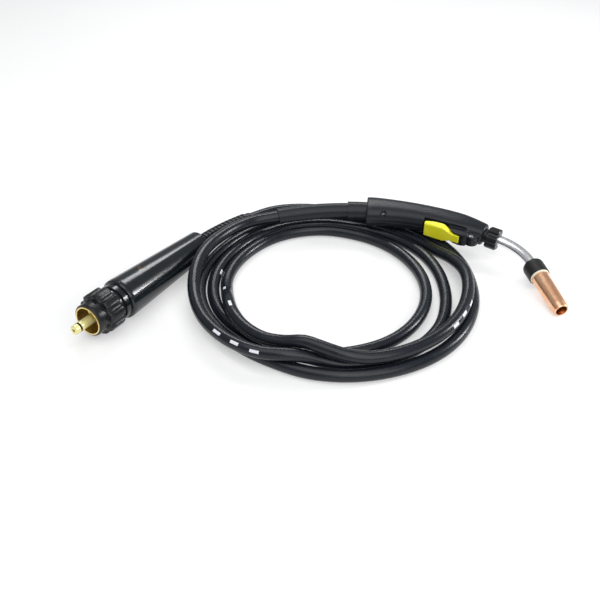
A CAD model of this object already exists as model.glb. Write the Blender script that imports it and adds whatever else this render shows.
import math
import bpy
import bmesh
from mathutils import Matrix, Vector


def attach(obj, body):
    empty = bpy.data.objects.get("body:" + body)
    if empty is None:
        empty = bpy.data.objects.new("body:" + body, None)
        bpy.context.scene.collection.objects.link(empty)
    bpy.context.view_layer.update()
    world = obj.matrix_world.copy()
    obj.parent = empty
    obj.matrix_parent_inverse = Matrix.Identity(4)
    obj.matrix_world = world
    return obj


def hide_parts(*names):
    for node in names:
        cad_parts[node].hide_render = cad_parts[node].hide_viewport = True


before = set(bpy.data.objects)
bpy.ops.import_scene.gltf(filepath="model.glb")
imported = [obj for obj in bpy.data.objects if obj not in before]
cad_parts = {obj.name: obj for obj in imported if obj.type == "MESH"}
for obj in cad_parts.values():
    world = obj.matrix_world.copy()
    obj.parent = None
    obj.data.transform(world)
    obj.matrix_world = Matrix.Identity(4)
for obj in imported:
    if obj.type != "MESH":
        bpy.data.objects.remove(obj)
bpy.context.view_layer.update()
MM = 0.001

# ---- the part's own frames, in millimetres, as in part.scad -------------------------------

TORCH_AT, TORCH_HEADING, TORCH_TILT = (-56.9, 88.65), -6.0, 9.0
COIL_AT = (-111.9, -46.35)
PLUG_AT, PLUG_HEADING = (-378.2, -110.15), 238.0
HANDLE_LEN, HANDLE_BEND = 170.0, 26.0
BOOT_LEN, BOOT_BEND = 127.0, 20.0
NECK_START, NECK_R, NECK_BEND, REACH = 21.5, 79.0, 44.0, 87.0
NECK_OUTER = 7.5
HOUSING_LEN, FRONT_R, REAR_R = 165.0, 27.0, 19.0
GUARD_LEN, GUARD_BEND = 100.0, 19.0
CABLE_R = 8.0
rad = math.radians
HANDLE_R = HANDLE_LEN / rad(HANDLE_BEND)
BOOT_R = BOOT_LEN / rad(BOOT_BEND)
GUARD_R = GUARD_LEN / rad(GUARD_BEND)
MOUTH_R = 9.4  # the nozzle's mouth rests on the floor


def arc(r, a):
    return Vector((r * math.sin(a), 0, -r * (1 - math.cos(a))))


def rot_y(a):
    return Matrix.Rotation(a, 4, "Y")


def move(x, y=0, z=0):
    return Matrix.Translation((x, y, z))


mouth = (
    arc(HANDLE_R, rad(HANDLE_BEND))
    + rot_y(rad(HANDLE_BEND)) @ (Vector((NECK_START, 0, 0)) + arc(NECK_R, rad(NECK_BEND)))
    + rot_y(rad(HANDLE_BEND + NECK_BEND)) @ Vector((REACH, 0, 0))
)
dip = math.asin(math.sin(rad(HANDLE_BEND + NECK_BEND)) * math.sin(rad(TORCH_TILT)))
TORCH_Z = MOUTH_R * math.cos(dip) - mouth.z * math.sin(rad(TORCH_TILT))
SCALE = Matrix.Scale(MM, 4)
TORCH = (
    SCALE @ move(*TORCH_AT, TORCH_Z) @ Matrix.Rotation(rad(TORCH_HEADING), 4, "Z")
    @ Matrix.Rotation(rad(TORCH_TILT - 90), 4, "X")
)


def handle_at(s):
    a = s / HANDLE_R
    return TORCH @ Matrix.Translation(arc(HANDLE_R, a)) @ rot_y(a)


TRIGGER_TO_FRONT, LUG_TO_FRONT, REAR_SCREW_S = 56.5, 14.0, 25.0
TRIGGER = handle_at(HANDLE_LEN - TRIGGER_TO_FRONT)
LUG = handle_at(HANDLE_LEN - LUG_TO_FRONT)
REAR = handle_at(REAR_SCREW_S)
FRONT = handle_at(HANDLE_LEN)
TIP = FRONT @ move(NECK_START, 0, -NECK_R) @ rot_y(rad(NECK_BEND)) @ move(0, 0, NECK_R)
PITCH = math.atan((FRONT_R - REAR_R) / HOUSING_LEN)
PLUG = (
    SCALE @ move(*PLUG_AT, FRONT_R * math.cos(PITCH)) @ Matrix.Rotation(rad(PLUG_HEADING), 4, "Z")
    @ rot_y(-PITCH)
)


# ---- camera, floor and light --------------------------------------------------------------

ELEV, DIST, FOV = 37.0, 1.08, 39.6
target = Vector((-0.1519, -0.07335, 0.0))
cam = bpy.data.objects.new("camera", bpy.data.cameras.new("camera"))
bpy.context.collection.objects.link(cam)
cam.location = target + DIST * Vector((0, -math.cos(rad(ELEV)), math.sin(rad(ELEV))))
cam.rotation_euler = (rad(90 - ELEV), 0, 0)
cam.data.sensor_fit = "AUTO"
cam.data.angle = rad(FOV)
cam.data.clip_start = 0.01
bpy.context.scene.camera = cam


def lamp(name, where, aim, power, size, size_y=None, color=(1, 1, 1)):
    data = bpy.data.lights.new(name, "AREA")
    data.energy = power
    data.color = color
    data.shape = "RECTANGLE" if size_y else "SQUARE"
    data.size = size
    if size_y:
        data.size_y = size_y
    obj = bpy.data.objects.new(name, data)
    bpy.context.collection.objects.link(obj)
    obj.location = where
    obj.rotation_euler = (Vector(aim) - Vector(where)).to_track_quat("-Z", "Y").to_euler()
    return obj


bpy.context.scene.view_settings.view_transform = "Standard"
lamp("key", (-0.35, -0.5, 1.5), (-0.15, -0.05, 0), 11, 1.5, 1.5)
lamp("side", (1.25, 0.2, 0.62), (-0.3, -0.1, 0.02), 10, 0.12, 0.5)
lamp("back", (-0.2, 1.2, 1.2), (-0.12, 0, 0), 8, 0.9, 0.3)
lamp("fill", (0.3, -1.25, 0.95), (-0.1, 0, 0), 9, 1.2)
world = bpy.data.worlds.new("studio")
world.use_nodes = True
bpy.context.scene.world = world
background = world.node_tree.nodes["Background"]
background.inputs["Color"].default_value = (0.95, 0.97, 1.0, 1)
# The world lights the object softly, and the camera sees it nearly white
WORLD_LIGHT, WORLD_SHOWN = 0.38, 0.85
world_rays = world.node_tree.nodes.new("ShaderNodeLightPath")
world_level = world.node_tree.nodes.new("ShaderNodeMapRange")
world_level.inputs["To Min"].default_value = WORLD_LIGHT
world_level.inputs["To Max"].default_value = WORLD_SHOWN
world.node_tree.links.new(world_rays.outputs["Is Camera Ray"], world_level.inputs["Value"])
world.node_tree.links.new(world_level.outputs["Result"], background.inputs["Strength"])


# ---- node materials -----------------------------------------------------------------------

BUMP_DEPTH = 0.0004


def node_material(name, color, rough, metal=0.0, second=None, mix_scale=300.0,
                  mix=(0.35, 0.65), bump=0.1, bump_scale=2500.0, rough_var=0.08,
                  rough_scale=600.0, coat=0.0, spec=None):
    """Colour varied by noise, roughness varied by noise and a fine bump."""
    m = bpy.data.materials.new(name)
    m.use_nodes = True
    nt = m.node_tree
    n, link = nt.nodes, nt.links.new
    shader = n["Principled BSDF"]
    coord = n.new("ShaderNodeTexCoord")

    def noise(scale, detail=4.0):
        t = n.new("ShaderNodeTexNoise")
        t.inputs["Scale"].default_value = scale
        t.inputs["Detail"].default_value = detail
        t.inputs["Roughness"].default_value = 0.55
        link(coord.outputs["Object"], t.inputs["Vector"])
        return t.outputs["Fac"]

    ramp = n.new("ShaderNodeValToRGB")
    ramp.color_ramp.elements[0].position = mix[0]
    ramp.color_ramp.elements[1].position = mix[1]
    ramp.color_ramp.elements[0].color = (*color, 1)
    ramp.color_ramp.elements[1].color = (*(second or [c * 1.25 for c in color]), 1)
    link(noise(mix_scale), ramp.inputs["Fac"])
    link(ramp.outputs["Color"], shader.inputs["Base Color"])
    spread = n.new("ShaderNodeMapRange")
    spread.inputs["From Min"].default_value = 0.3
    spread.inputs["From Max"].default_value = 0.7
    spread.inputs["To Min"].default_value = max(rough - rough_var, 0.02)
    spread.inputs["To Max"].default_value = min(rough + rough_var, 1)
    link(noise(rough_scale, 3.0), spread.inputs["Value"])
    link(spread.outputs["Result"], shader.inputs["Roughness"])
    shader.inputs["Metallic"].default_value = metal
    shader.inputs["Coat Weight"].default_value = coat
    shader.inputs["Coat Roughness"].default_value = 0.1
    if spec is not None:
        shader.inputs["Specular IOR Level"].default_value = spec
    if bump:
        b = n.new("ShaderNodeBump")
        b.inputs["Strength"].default_value = bump
        b.inputs["Distance"].default_value = BUMP_DEPTH
        link(noise(bump_scale, 2.0), b.inputs["Height"])
        link(b.outputs["Normal"], shader.inputs["Normal"])
    return m


M_CABLE = node_material("cable_sheath", (0.006, 0.0085, 0.013), 0.27,
                        second=(0.009, 0.012, 0.018), mix_scale=60, bump=0.008, bump_scale=700,
                        rough_var=0.03, rough_scale=120, spec=0.36)
M_HANDLE = node_material("handle_plastic", (0.006, 0.008, 0.0125), 0.36,
                         second=(0.008, 0.0105, 0.016), mix_scale=90, bump=0.08,
                         bump_scale=3500, rough_var=0.05, spec=0.34)
M_BOOT = node_material("boot_rubber", (0.005, 0.0065, 0.0095), 0.38,
                       second=(0.0075, 0.0095, 0.0135), mix_scale=110, bump=0.06,
                       bump_scale=2400, spec=0.34)
M_GLOSS = node_material("gloss_black", (0.006, 0.009, 0.0115), 0.17,
                        second=(0.008, 0.012, 0.0145), mix_scale=80, bump=0.008,
                        bump_scale=900, rough_var=0.025, rough_scale=200, spec=0.5)
M_NUT = node_material("nut_black", (0.004, 0.005, 0.006), 0.3, second=(0.006, 0.0075, 0.009),
                      mix_scale=120, bump=0.04, bump_scale=2200, rough_var=0.05, spec=0.42)
M_COLLAR = node_material("insulator_black", (0.006, 0.006, 0.0065), 0.45,
                         second=(0.012, 0.011, 0.011), mix_scale=260, bump=0.16,
                         bump_scale=2800, spec=0.4)
M_YELLOW = node_material("trigger_yellow", (0.92, 0.88, 0.02), 0.32, second=(0.97, 0.93, 0.05),
                         mix_scale=70, bump=0.05, bump_scale=1800, rough_var=0.05, coat=0.1)
M_CHROME = node_material("neck_metal", (0.88, 0.89, 0.91), 0.24, metal=1.0,
                         second=(0.95, 0.95, 0.96), mix_scale=90, bump=0.04, bump_scale=1500,
                         rough_var=0.06)
M_COPPER = node_material("nozzle_copper", (0.95, 0.5, 0.28), 0.3, metal=1.0,
                         second=(0.98, 0.6, 0.38), mix_scale=90, bump=0.012, bump_scale=1600,
                         rough_var=0.04, rough_scale=300)
M_CREAM = node_material("fibre_ring", (0.8, 0.72, 0.55), 0.6, second=(0.88, 0.82, 0.68),
                        mix_scale=500, bump=0.2, bump_scale=2600)
M_BRASS = node_material("brass", (0.83, 0.62, 0.22), 0.3, metal=1.0, second=(0.9, 0.74, 0.36),
                        mix_scale=160, bump=0.06, bump_scale=1800)
M_PIN = node_material("pin_brass", (0.92, 0.84, 0.3), 0.35, metal=0.55,
                      second=(0.98, 0.92, 0.5), mix_scale=160, bump=0.05, bump_scale=1800)
M_STEEL = node_material("screw_steel", (0.6, 0.6, 0.6), 0.32, metal=1.0,
                        second=(0.72, 0.72, 0.73), mix_scale=400, bump=0.06, bump_scale=2600)
M_DARK_STEEL = node_material("blackened_steel", (0.05, 0.035, 0.025), 0.42, metal=0.8,
                             second=(0.12, 0.07, 0.035), mix_scale=500, bump=0.08,
                             bump_scale=2600)
M_BROWN = node_material("face_brown", (0.06, 0.028, 0.012), 0.5, second=(0.1, 0.05, 0.02),
                        mix_scale=300, bump=0.15, bump_scale=2400)
M_IVORY = node_material("ivory_plastic", (0.75, 0.7, 0.58), 0.45, second=(0.8, 0.76, 0.66),
                        mix_scale=300)
M_RED = node_material("lead_red", (0.5, 0.05, 0.04), 0.4, second=(0.6, 0.08, 0.06),
                      mix_scale=300)
M_LINER = node_material("liner_steel", (0.5, 0.5, 0.51), 0.35, metal=1.0, mix_scale=900,
                        bump=0.4, bump_scale=1200)
M_MARK = node_material("mark_ink", (0.72, 0.75, 0.8), 0.45, second=(0.85, 0.87, 0.9),
                       mix_scale=900, mix=(0.3, 0.6), bump=0.05)
M_FLOOR = node_material("floor", (0.6, 0.6, 0.6), 0.8, second=(0.62, 0.62, 0.62), mix_scale=3,
                        bump=0.0, spec=0.1)


def whiten(material, strength):
    """Lifts a material to white where the camera, metal and glass see it, keeping its shadows."""
    nt = material.node_tree
    n, link = nt.nodes, nt.links.new
    out = n["Material Output"]
    rays = n.new("ShaderNodeLightPath")
    seen = n.new("ShaderNodeMath")
    seen.operation = "MAXIMUM"
    link(rays.outputs["Is Camera Ray"], seen.inputs[0])
    link(rays.outputs["Is Glossy Ray"], seen.inputs[1])
    seen_too = n.new("ShaderNodeMath")
    seen_too.operation = "MAXIMUM"
    link(seen.outputs["Value"], seen_too.inputs[0])
    link(rays.outputs["Is Transmission Ray"], seen_too.inputs[1])
    level = n.new("ShaderNodeMath")
    level.operation = "MULTIPLY"
    level.inputs[1].default_value = strength
    link(seen_too.outputs["Value"], level.inputs[0])
    glow = n.new("ShaderNodeEmission")
    link(level.outputs["Value"], glow.inputs["Strength"])
    add = n.new("ShaderNodeAddShader")
    link(n["Principled BSDF"].outputs["BSDF"], add.inputs[0])
    link(glow.outputs["Emission"], add.inputs[1])
    link(add.outputs["Shader"], out.inputs["Surface"])


whiten(M_FLOOR, 0.4)
floor = bpy.data.meshes.new("floor")
floor.from_pydata([(-4, -4, 0), (4, -4, 0), (4, 4, 0), (-4, 4, 0)], [], [(0, 1, 2, 3)])
floor = bpy.data.objects.new("floor", floor)
bpy.context.collection.objects.link(floor)
floor.location.z = -0.0004
floor.data.materials.append(M_FLOOR)


# ---- mesh helpers -------------------------------------------------------------------------

def mesh_object(name, verts, faces, material, body="torch", matrix=None, smooth=35):
    me = bpy.data.meshes.new(name)
    if matrix is not None:
        verts = [matrix @ Vector(v) for v in verts]
    me.from_pydata([tuple(v) for v in verts], [], faces)
    bm = bmesh.new()
    bm.from_mesh(me)
    bmesh.ops.remove_doubles(bm, verts=bm.verts, dist=1e-7)
    bmesh.ops.recalc_face_normals(bm, faces=bm.faces)
    if bm.calc_volume(signed=True) < 0:
        bmesh.ops.reverse_faces(bm, faces=bm.faces)
    bm.to_mesh(me)
    bm.free()
    obj = bpy.data.objects.new(name, me)
    bpy.context.collection.objects.link(obj)
    if material:
        me.materials.append(material)
    soften(obj, smooth)
    if body:
        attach(obj, body)
    return obj


def soften(obj, angle=35):
    for p in obj.data.polygons:
        p.use_smooth = True
    obj.data.set_sharp_from_angle(angle=rad(angle))


def rings_object(name, rings, material, body="torch", matrix=None, caps=True, smooth=35):
    """A skin through rings of points."""
    n = len(rings[0])
    verts = [p for r in rings for p in r]
    faces = []
    for k in range(len(rings) - 1):
        for i in range(n):
            j = (i + 1) % n
            faces.append((k * n + i, k * n + j, (k + 1) * n + j, (k + 1) * n + i))
    if caps:
        faces.append(tuple(range(n - 1, -1, -1)))
        faces.append(tuple((len(rings) - 1) * n + i for i in range(n)))
    return mesh_object(name, verts, faces, material, body, matrix, smooth)


def evaluated(obj):
    """The object's mesh with its modifiers applied."""
    deps = bpy.context.evaluated_depsgraph_get()
    me = bpy.data.meshes.new_from_object(obj.evaluated_get(deps))
    obj.modifiers.clear()
    old = obj.data
    obj.data = me
    bpy.data.meshes.remove(old)
    return obj


def cut(obj, tools, op="DIFFERENCE"):
    """Booleans one after another. The exact solver loses the right shell here."""
    for t in tools:
        m = obj.modifiers.new("cut", "BOOLEAN")
        m.operation = op
        m.solver = "MANIFOLD"
        m.object = t
    evaluated(obj)
    for t in tools:
        bpy.data.objects.remove(t)
    return obj


def moulded(obj, voxel, smooth, keep):
    """Rounds an object's edges as a moulding's: a fine voxel skin, smoothed and thinned."""
    m = obj.modifiers.new("skin", "REMESH")
    m.mode = "VOXEL"
    m.voxel_size = voxel
    s = obj.modifiers.new("soft", "SMOOTH")
    s.factor = 0.5
    s.iterations = smooth
    d = obj.modifiers.new("thin", "DECIMATE")
    d.ratio = keep
    evaluated(obj)
    for p in obj.data.polygons:
        p.use_smooth = True
    return obj


def box_mesh(name, lo, hi, matrix):
    x0, y0, z0 = lo
    x1, y1, z1 = hi
    v = [(x, y, z) for x in (x0, x1) for y in (y0, y1) for z in (z0, z1)]
    f = [(0, 1, 3, 2), (4, 6, 7, 5), (0, 4, 5, 1), (2, 3, 7, 6), (0, 2, 6, 4), (1, 5, 7, 3)]
    return mesh_object(name, v, f, None, None, matrix, 10)


def rod_mesh(name, r, x0, x1, matrix, sides=48):
    verts = []
    for x in (x0, x1):
        for k in range(sides):
            a = 2 * math.pi * k / sides
            verts.append((x, r * math.cos(a), r * math.sin(a)))
    faces = [tuple(range(sides)), tuple(range(2 * sides - 1, sides - 1, -1))]
    faces += [(k, (k + 1) % sides, sides + (k + 1) % sides, sides + k) for k in range(sides)]
    return mesh_object(name, verts, faces, None, None, matrix, 10)


ALONG_Y = Matrix.Rotation(rad(90), 4, "Z")


# ---- the cable ----------------------------------------------------------------------------

# The loops' centre line: (turn in degrees, distance from the coil's middle, height)
KNOTS = [
    (152, 167, 33), (167, 172.5, 34), (182, 177, 31), (198, 181.5, 26), (214, 185.5, 24.7),
    (230, 186, 24.7), (242, 182, 24.8), (251, 174.5, 25.3), (258, 168, 21.5),
    (265, 163.5, 13.5), (275, 163.5, 8), (300, 167.5, 8), (322, 163, 8), (342, 154, 8),
    (360, 149, 8), (390, 147, 8), (430, 143.5, 8), (455, 149, 8), (480, 151.3, 8),
    (510, 151.4, 8), (540, 154.5, 8), (562, 154.8, 8), (590, 151, 8), (615, 148.5, 8),
    (640, 143.5, 8), (660, 139.5, 8), (690, 131, 8), (720, 124.5, 8), (750, 121.5, 8),
    (790, 125.5, 8), (815, 132, 8), (840, 134.7, 8), (865, 134.3, 8), (900, 137.5, 8),
    (910, 137.3, 10), (922, 141.5, 20), (934, 149.5, 24.8), (946, 156, 24.5),
    (958, 158.5, 24.5), (968, 157, 28), (977, 156.7, 34), (986, 163, 32), (995, 171, 28),
    (1005, 176, 24.8), (1035, 180, 24), (1060, 179, 24), (1080, 177, 24.5), (1094, 171, 18.5),
    (1106, 166.5, 10.5), (1120, 164, 8), (1150, 161, 8), (1175, 166.5, 8), (1200, 167.9, 8),
    (1230, 168, 8), (1260, 172, 8), (1290, 172, 8), (1305, 171.5, 8), (1325, 173.5, 8),
    (1341, 179.7, 8), (1370, 186, 8), (1395, 190, 8), (1420, 188, 8), (1440, 185.5, 8),
    (1460, 185, 8), (1500, 181, 8), (1530, 184, 8),
]


# How far the loops lie inside the CAD tube's corners: everywhere, and more at the back
FLAT_DEPTH, BACK_DEPTH = 1.2, 0.85


def hermite(p, dp, q, dq, t):
    return (
        (2 * t**3 - 3 * t * t + 1) * p + (t**3 - 2 * t * t + t) * dp
        + (3 * t * t - 2 * t**3) * q + (t**3 - t * t) * dq
    )


def knot_slope(i):
    a, b = max(i - 1, 0), min(i + 1, len(KNOTS) - 1)
    d = KNOTS[b][0] - KNOTS[a][0]
    return Vector(((KNOTS[b][1] - KNOTS[a][1]) / d, (KNOTS[b][2] - KNOTS[a][2]) / d))


def loop_point(angle):
    i = 0
    while i < len(KNOTS) - 2 and angle > KNOTS[i + 1][0]:
        i += 1
    h = KNOTS[i + 1][0] - KNOTS[i][0]
    t = (angle - KNOTS[i][0]) / h
    p, q = Vector(KNOTS[i][1:]), Vector(KNOTS[i + 1][1:])
    v = hermite(p, h * knot_slope(i), q, h * knot_slope(i + 1), t)
    a = rad(angle)
    r = v[0] - FLAT_DEPTH - BACK_DEPTH * max(math.sin(a), 0) ** 4
    return Vector((COIL_AT[0] + r * math.cos(a), COIL_AT[1] + r * math.sin(a), max(v[1], CABLE_R)))


def in_mm(matrix, p, direction=False):
    q = matrix @ Vector(p) - (matrix @ Vector((0, 0, 0)) if direction else Vector((0, 0, 0)))
    return q / MM


bb, gb = rad(BOOT_BEND), rad(GUARD_BEND)
boot_end = in_mm(TORCH, arc(BOOT_R, -bb))
boot_out = in_mm(TORCH, (-math.cos(bb), 0, -math.sin(bb)), True).normalized()
guard_end = in_mm(PLUG, (-HOUSING_LEN - GUARD_R * math.sin(gb), GUARD_R * (1 - math.cos(gb)), 0))
guard_out = in_mm(PLUG, (-math.cos(gb), math.sin(gb), 0), True).normalized()
first, last, step = KNOTS[0][0], 1517.0, 3.0
loops = [loop_point(first + step * i) for i in range(int((last - first) / step) + 1)]
into = (loop_point(first + 1) - loops[0]).normalized()
out_of = (loops[-1] - loop_point(last - 1)).normalized()


def join(p, dp, q, dq, steps):
    size = (q - p).length
    return [hermite(p, dp * size, q, dq * size, i / steps) for i in range(1, steps)]


def straight(p, d, steps, length=24.0):
    return [p + d * length * i / steps for i in range(steps + 1)]


head = straight(boot_end, boot_out, 3)
tail = straight(guard_end, guard_out, 3)
route = head + join(head[-1], boot_out, loops[0], into, 12) + loops
route += join(loops[-1], out_of, tail[-1], -guard_out, 12) + tail[::-1]


def frames_along(points):
    """Each point with a side and an up across the line, which don't twist about it."""
    out = []
    for i, p in enumerate(points):
        t = (points[min(i + 1, len(points) - 1)] - points[max(i - 1, 0)]).normalized()
        side = t.cross(Vector((0, 0, 1))).normalized()
        out.append((p, side, side.cross(t)))
    return out


def tube_rings(points, radius, sides=28):
    rings = []
    for p, side, up in frames_along(points):
        rings.append([
            p + radius * (math.cos(a) * side + math.sin(a) * up)
            for a in (2 * math.pi * k / sides for k in range(sides))
        ])
    return rings


cable = rings_object("cable", tube_rings(route, CABLE_R), M_CABLE, matrix=SCALE, smooth=60)
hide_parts("cable_coil")


def mark(name, along, turn, length, width, steps=8, wide=5):
    """A plain printed dash that lies on the sheath, at a distance along the loops."""
    run, i = 0.0, 0
    while run + (loops[i + 1] - loops[i]).length < along:
        run += (loops[i + 1] - loops[i]).length
        i += 1
    frames = frames_along(loops)
    rings = []
    for k in range(steps + 1):
        at, j, base = along + length * (k / steps - 0.5), i, run
        while at < base:
            j -= 1
            base -= (loops[j + 1] - loops[j]).length
        while at > base + (loops[j + 1] - loops[j]).length:
            base += (loops[j + 1] - loops[j]).length
            j += 1
        t = (at - base) / (loops[j + 1] - loops[j]).length
        p = loops[j].lerp(loops[j + 1], t)
        side = frames[j][1].lerp(frames[j + 1][1], t).normalized()
        up = frames[j][2].lerp(frames[j + 1][2], t).normalized()
        ring = []
        for radius, order in ((CABLE_R + 0.08, 1), (CABLE_R - 0.3, -1)):
            row = []
            for m in range(wide + 1):
                a = rad(turn) + (m / wide - 0.5) * width / CABLE_R
                row.append(p + radius * (math.cos(a) * side + math.sin(a) * up))
            ring += row[::order]
        rings.append(ring)
    piece = rings_object(name, rings, M_MARK, matrix=SCALE, smooth=30)
    return piece


# The dashes: (distance along the loops, degrees around the sheath, length)
MARKS = [
    (1065, 150, 10), (1962, 66, 9), (2014, 86, 11), (222, 51, 12), (250, 48, 11),
    (276, 34, 11), (2388, 20, 12), (2363, 36, 11), (2339, 30, 11),
]
marks = [mark("mark_%d" % i, a, t, n, 3.6) for i, (a, t, n) in enumerate(MARKS)]


# ---- handle -------------------------------------------------------------------------------

def smooth_lookup(table, f):
    """A monotone curve through (share, value) points."""
    n = len(table)
    d = [(table[i + 1][1] - table[i][1]) / (table[i + 1][0] - table[i][0]) for i in range(n - 1)]
    inner = [0 if d[i - 1] * d[i] <= 0 else (d[i - 1] + d[i]) / 2 for i in range(1, n - 1)]
    m = [d[0]] + inner + [d[-1]]
    i = 0
    while i < n - 2 and f > table[i + 1][0]:
        i += 1
    h = table[i + 1][0] - table[i][0]
    t = min(max((f - table[i][0]) / h, 0), 1)
    return hermite(table[i][1], m[i] * h, table[i + 1][1], m[i + 1] * h, t)


# The handle's half heights above and below its line, and half width, by share of its length
TOP = [(0, 22), (0.06, 21.6), (0.25, 19.9), (0.5, 19), (0.8, 18.7), (0.93, 16.2), (1, 15)]
LOW = [(0, 22), (0.06, 21.6), (0.25, 19.9), (0.5, 19), (0.8, 18.5), (0.93, 14.5), (1, 13)]
SIDE = [(0, 15.4), (0.08, 16), (0.75, 16), (0.92, 14.6), (1, 13)]
POWER = 0.72


def signed_power(v, p):
    return math.copysign(abs(v) ** p, v)


def half_ring(s, inset, side, count=49):
    f = s / HANDLE_LEN
    a = s / HANDLE_R
    shrink = inset
    if s < 2:
        shrink += 1.2 * (1 - s / 2) ** 2
    if s > HANDLE_LEN - 2.5:
        shrink += 1.5 * (1 - (HANDLE_LEN - s) / 2.5) ** 2
    half_w = smooth_lookup(SIDE, f) - shrink
    top = smooth_lookup(TOP, f) - shrink
    low = smooth_lookup(LOW, f) - shrink
    out = []
    for i in range(count):
        t = rad(90 - 180 * i / (count - 1))
        u = signed_power(math.sin(t), POWER)
        y = max(half_w * signed_power(math.cos(t), POWER), 0.1)
        z = u * (top if u > 0 else low)
        out.append(arc(HANDLE_R, a) + rot_y(a) @ Vector((0, side * y, z)))
    return out


SHELL_WALL, SEAM, SILL_Z, SILL_WALL, SILL_HALF = 2.5, 0.1, -13.5, 2.5, 12.0
LUG_R, LUG_HALF, LUG_Z, LUG_SCREW_Z = 10.0, 7.5, -14.0, -18.0
REAR_SCREW_Z, REAR_BOSS_R, REAR_BOSS_REACH = -16.0, 4.0, 12.8
# The lower shell's rear boss is shorter and thinner, so that it stays inside its outline
LOWER_BOSS_R, LOWER_BOSS_REACH = 3.2, 9.0
HEAD_R, SHANK_R, FRONT_HEAD_Y, REAR_HEAD_Y = 3.3, 1.55, 4.9, 9.0
COLLET_SEAT_R, BLOCK_SEAT_R, BOOT_SEAT_R = 9.55, 7.05, 10.05
CHEEK_HALF, CHEEK_GAP = 9.5, 0.9
# Edge of the cheeks beside the trigger's narrow end, (x, z) in the trigger's frame
CHEEK = [
    (1, -12.5), (1, -13.6), (5, -15.5), (9, -19), (13, -23), (18, -25.8), (24, -27.2), (30, -27.2),
    (35, -25.5), (36, -22), (36, -12.5),
]
RECESS_REAR, RECESS_FRONT = -27.5, 31.5
TRIGGER_REAR, TRIGGER_FRONT, NOSE_AT, PAD_Z = -25.5, 25.5, 13.0, -26.0
PAD_HALF, NOSE_HALF = 12.0, 6.0


def trigger_outline(inset):
    nose, pad = NOSE_HALF - inset, PAD_HALF - inset
    r, f = TRIGGER_REAR + inset, TRIGGER_FRONT - inset
    lower = [(r, -pad), (0, -pad), (NOSE_AT, -nose), (f, -nose)]
    return lower + [(x, -y) for x, y in lower[::-1]]


def trigger_prism(name, inset, z0, z1):
    rings = [[(x, y, z) for x, y in trigger_outline(inset)] for z in (z0, z1)]
    return rings_object(name, rings, None, None, TRIGGER, smooth=10)


def shell(side, name):
    stations = [0, 0.3, 0.8, 1.4, 2] + [2 + (165.5 * i / 66) for i in range(1, 67)]
    stations += [168.4, 169.2, 169.7, HANDLE_LEN]
    rings = [half_ring(s, 0, side) + half_ring(s, SHELL_WALL, side)[::-1] for s in stations]
    body = rings_object(name, rings, M_HANDLE, None, TORCH, smooth=30)
    boss_r, boss_reach = REAR_BOSS_R, REAR_BOSS_REACH
    if side > 0:
        boss_r, boss_reach = LOWER_BOSS_R, LOWER_BOSS_REACH

    def slab(n, width, x0, x1, z0, z1, m):
        lo, hi = (SEAM, width) if side > 0 else (-width, -SEAM)
        return box_mesh(n, (x0, lo, z0), (x1, hi, z1), m)

    def across(n, r, a, b, m, sides=40):
        lo, hi = (a, b) if side > 0 else (-b, -a)
        return rod_mesh(n, r, lo, hi, m @ ALONG_Y, sides)

    def plug_wall(n, s0, s1):
        ring = [half_ring(s, 0.6, side) for s in (s0, (s0 + s1) / 2, s1)]
        return rings_object(n, ring, None, None, TORCH, smooth=10)

    add = [
        plug_wall("wall_rear", 0.5, 5), plug_wall("wall_front", 159, 169.5),
        slab("sill", SILL_HALF, -31, 33, SILL_Z, SILL_Z + SILL_WALL, TRIGGER),
        across("lug", LUG_R, SEAM, LUG_HALF, LUG @ move(0, 0, LUG_Z), 64),
        slab("lug_root", LUG_HALF, -LUG_R, LUG_R, LUG_Z, LUG_Z + 4, LUG),
        across("boss", boss_r, SEAM, boss_reach, REAR @ move(0, 0, REAR_SCREW_Z)),
    ]
    cut(body, add, "UNION")
    cut(body, [box_mesh("recess", (RECESS_REAR, -40, -60), (RECESS_FRONT, 40, SILL_Z), TRIGGER)])
    lo, hi = (SEAM, CHEEK_HALF) if side > 0 else (-CHEEK_HALF, -SEAM)
    edges = [[(x, y, z) for x, z in CHEEK] for y in (lo, hi)]
    web = rings_object("cheek", edges, None, None, TRIGGER, smooth=10)
    cut(web, [trigger_prism("room", -CHEEK_GAP, -52, SILL_Z)])
    cut(body, [web], "UNION")
    tools = [
        box_mesh("slot", (-15, -5, -15), (25.5, 5, -10), TRIGGER),
        rod_mesh("front_seat", COLLET_SEAT_R, -17, 2, FRONT),
        rod_mesh("block_seat", BLOCK_SEAT_R, -46, -16, FRONT),
        rod_mesh("rear_seat", BOOT_SEAT_R, -2, 7, TORCH),
    ]
    front_screw = LUG @ move(0, 0, LUG_SCREW_Z) @ ALONG_Y
    rear_screw = REAR @ move(0, 0, REAR_SCREW_Z) @ ALONG_Y
    if side < 0:
        tools += [
            rod_mesh("screw_a", HEAD_R, -20, -FRONT_HEAD_Y, front_screw),
            rod_mesh("screw_b", HEAD_R, -30, -REAR_HEAD_Y, rear_screw),
        ]
    tools += [
        rod_mesh("shank_a", SHANK_R, -20, 5.5, front_screw, 24),
        rod_mesh("shank_b", SHANK_R, -30, 11, rear_screw, 24),
    ]
    cut(body, tools)
    moulded(body, 0.0006, 3, 0.5)
    body.data.materials.clear()
    body.data.materials.append(M_HANDLE)
    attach(body, "torch")
    return body


left = shell(-1, "shell_left")
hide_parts("handle_left")
right = shell(1, "shell_right")
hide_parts("handle_right")

# ---- neck ---------------------------------------------------------------------------------

def neck_line(back, ahead, count=24):
    pts = [FRONT @ Vector((-back, 0, 0)), FRONT @ Vector((NECK_START, 0, 0))]
    for i in range(1, count + 1):
        a = rad(NECK_BEND) * i / count
        pts.append(FRONT @ (Vector((NECK_START, 0, 0)) + arc(NECK_R, a)))
    pts.append(TIP @ Vector((ahead, 0, 0)))
    return pts


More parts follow.
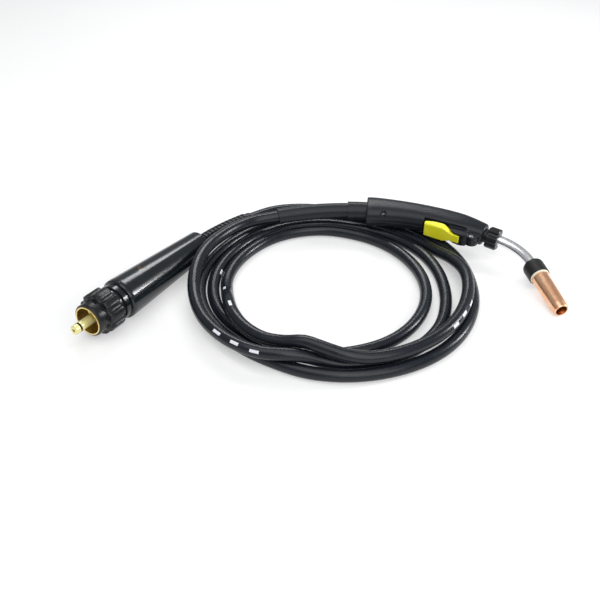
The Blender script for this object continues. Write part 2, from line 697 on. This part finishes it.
NECK_R_OUT = NECK_OUTER * MM
jacket_rings = []
across_y = (FRONT.to_3x3() @ Vector((0, 1, 0))).normalized()
line = neck_line(12, 6)
for i, p in enumerate(line):
    t = (line[min(i + 1, len(line) - 1)] - line[max(i - 1, 0)]).normalized()
    up = across_y.cross(t).normalized()
    jacket_rings.append([
        p + NECK_R_OUT * (math.cos(a) * across_y + math.sin(a) * up)
        for a in (2 * math.pi * k / 48 for k in range(48))
    ])
jacket = rings_object("neck_tube_outer", jacket_rings, M_CHROME, "neck", smooth=50)
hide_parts("neck_jacket")

# ---- trigger ------------------------------------------------------------------------------

PAD_EDGE = [(-25.5, 0.8), (-24.5, 0), (-8, 0.9), (8, 0.6), (24.5, 0.2), (25.5, 1)]
SIDE_EDGE = [
    (25.5, 4.5), (17, 5.5), (11, 7.8), (3, 9.7), (-5, 9.8), (-15, 8.5), (-23.5, 5.5),
    (-25.5, 4),
]
SLOPED = TRIGGER @ move(0, 0, PAD_Z) @ rot_y(rad(5)) @ move(0, 0, -PAD_Z)


def prism(name, outline, place, lo, hi, matrix):
    rings = [[place(u, v, w) for u, v in outline] for w in (lo, hi)]
    return rings_object(name, rings, None, None, matrix, smooth=10)


def corner(cy, cz, a0, r=4.0, steps=8):
    angles = [rad(a0 + 90 * i / steps) for i in range(steps + 1)]
    return [(cy + r * math.cos(a), cz + r * math.sin(a)) for a in angles]


TRIGGER_WALL, PIVOT_X, PIVOT_Z, EAR_R, EAR_HALF = 2.2, 21.0, -9.5, 3.5, 4.0
POST_X, POST_HALF = -7.0, 2.4
PIVOT = TRIGGER @ move(PIVOT_X, 0, PIVOT_Z) @ ALONG_Y


def as_xyz(x, y, z):
    return (x, y, z)


def from_xzy(x, z, y):
    return (x, y, z)


def from_yzx(y, z, x):
    return (x, y, z)


pad_section = corner(-8, -22, 180) + corner(8, -22, 270)
pad_section += [(PAD_HALF, -10), (-PAD_HALF, -10)]
pad_profile = [(x, PAD_Z + z) for x, z in PAD_EDGE + SIDE_EDGE]
body = prism("trigger_moulding", trigger_outline(0), as_xyz, PAD_Z - 1, PAD_Z + 13, SLOPED)
cut(body, [
    prism("profile", pad_profile, from_xzy, -24, 24, SLOPED),
    prism("section", pad_section, from_yzx, -51, 51, SLOPED),
], "INTERSECT")
hollow = trigger_outline(TRIGGER_WALL)
cut(body, [prism("pocket", hollow, as_xyz, PAD_Z + 1 + TRIGGER_WALL, -8, SLOPED)])
cut(body, [
    box_mesh("post", (POST_X - POST_HALF, -POST_HALF, PAD_Z + 2),
             (POST_X + POST_HALF, POST_HALF, -12.5), TRIGGER),
    rod_mesh("ear", EAR_R, -EAR_HALF, EAR_HALF, PIVOT),
    box_mesh("ear_root", (PIVOT_X - EAR_R, -EAR_HALF, PAD_Z),
             (PIVOT_X + EAR_R, EAR_HALF, PIVOT_Z), TRIGGER),
], "UNION")
cut(body, [rod_mesh("pin_hole", 1.58, -5, 5, PIVOT)])
moulded(body, 0.00042, 4, 0.6)
body.data.materials.clear()
body.data.materials.append(M_YELLOW)
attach(body, "trigger")
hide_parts("trigger")

# ---- nuts ---------------------------------------------------------------------------------


def lobe_radius(turn, r, count, notch_r, notch_at):
    """Radius of a round nut with notches, its corners eased."""
    pitch = 2 * math.pi / count
    d = (turn + pitch / 2) % pitch - pitch / 2
    across = notch_at * math.sin(d)
    if abs(across) >= notch_r:
        gap = abs(across) - notch_r
        return r - 0.5 * max(0.0, 1 - gap / 0.9) ** 2
    inner = notch_at * math.cos(d) - math.sqrt(notch_r**2 - across**2)
    return -0.45 * math.log(math.exp(-(r - 0.5) / 0.45) + math.exp(-inner / 0.45))


def nut(name, stations, lobes, material, matrix, body, sides=240):
    """Rings along x. A station is (x, radius) or (x, inset from the lobes, None).

    The lobes are (radius, number of notches, their radius, the distance of their centres).
    """
    rings = []
    for station in stations:
        ring = []
        for k in range(sides):
            a = 2 * math.pi * k / sides
            r = station[1]
            if len(station) == 3:
                r = min(lobe_radius(a, *lobes) - station[1], lobes[0])
            ring.append((station[0], r * math.sin(a), -r * math.cos(a)))
        rings.append(ring)
    rings.append(rings[0])
    return rings_object(name, rings, material, body, matrix, caps=False, smooth=32)


GRIP_BACK, GRIP_FRONT, COLLAR_END, GRIP_LIP = 13.8, 37.8, 51.8, 16.8
GRIP_R, COLLAR_R, GRIP_BORE, GRIP_HOLE = 27.0, 21.0, 18.85, 14.08
grip = nut("nut_grip", [
    (GRIP_BACK, GRIP_HOLE), (GRIP_BACK, COLLAR_R), (GRIP_BACK, 1.8, None), (14.1, 0.9, None),
    (14.7, 0.3, None), (15.6, 0, None), (20, 0, None), (28, 0, None), (35.6, 0, None),
    (36.6, 0.4, None), (37.4, 1.1, None), (GRIP_FRONT, 2.0, None), (GRIP_FRONT, 21.4),
    (38.2, COLLAR_R), (44.4, COLLAR_R), (44.8, 20.6), (45.6, 20.6), (46.0, COLLAR_R),
    (50.8, COLLAR_R), (51.5, 20.7), (COLLAR_END, 20.1), (COLLAR_END, GRIP_BORE),
    (GRIP_LIP, GRIP_BORE), (GRIP_LIP, GRIP_HOLE),
], (GRIP_R, 9, 5.4, 28.6), M_NUT, PLUG, "hand_nut")
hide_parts("hand_nut")
LOCK_BACK, LOCK_FRONT, LOCK_LIP = 4.5, 20.5, 17.9
LOCK_R, LOCK_BORE, LOCK_HOLE = 15.0, 9.58, 7.58
ring_nut = nut("neck_ring_nut", [
    (LOCK_BACK, LOCK_BORE), (LOCK_BACK, 12), (LOCK_BACK, 1.4, None), (4.8, 0.6, None),
    (5.5, 0, None), (9, 0, None), (16, 0, None), (19.3, 0, None), (20.1, 0.5, None),
    (LOCK_FRONT, 1.3, None), (LOCK_FRONT, 10.5), (LOCK_FRONT, LOCK_HOLE),
    (LOCK_LIP, LOCK_HOLE), (LOCK_LIP, LOCK_BORE),
], (LOCK_R, 6, 4.2, 16.2), M_NUT, FRONT, "lock_nut", 180)
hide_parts("lock_nut")

# ---- CAD nodes that stay ------------------------------------------------------------------

KEEP = {
    M_STEEL: "handle_screws trigger_pin",
    M_BOOT: "handle_boot cable_guard pin_seal",
    M_CABLE: "cable_inlet cable_outlet",
    M_BRASS: "cable_conductor cable_block gas_diffuser plug_core nut_insert",
    M_BROWN: "switch_body plug_face",
    M_IVORY: "switch_plunger",
    M_RED: "switch_leads",
    M_COLLAR: "neck_collet nozzle_insulator",
    M_CREAM: "neck_insulation insulator_ring",
    M_COPPER: "neck_tube contact_tip nozzle",
    M_LINER: "neck_liner",
    M_GLOSS: "plug_housing plug_ring",
    M_DARK_STEEL: "housing_screw",
    M_PIN: "centre_pin control_pin_left control_pin_right",
}
for material, names in KEEP.items():
    for node in names.split():
        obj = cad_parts[node]
        if not obj.material_slots:
            obj.data.materials.append(material)
        for s in obj.material_slots:
            s.material = material
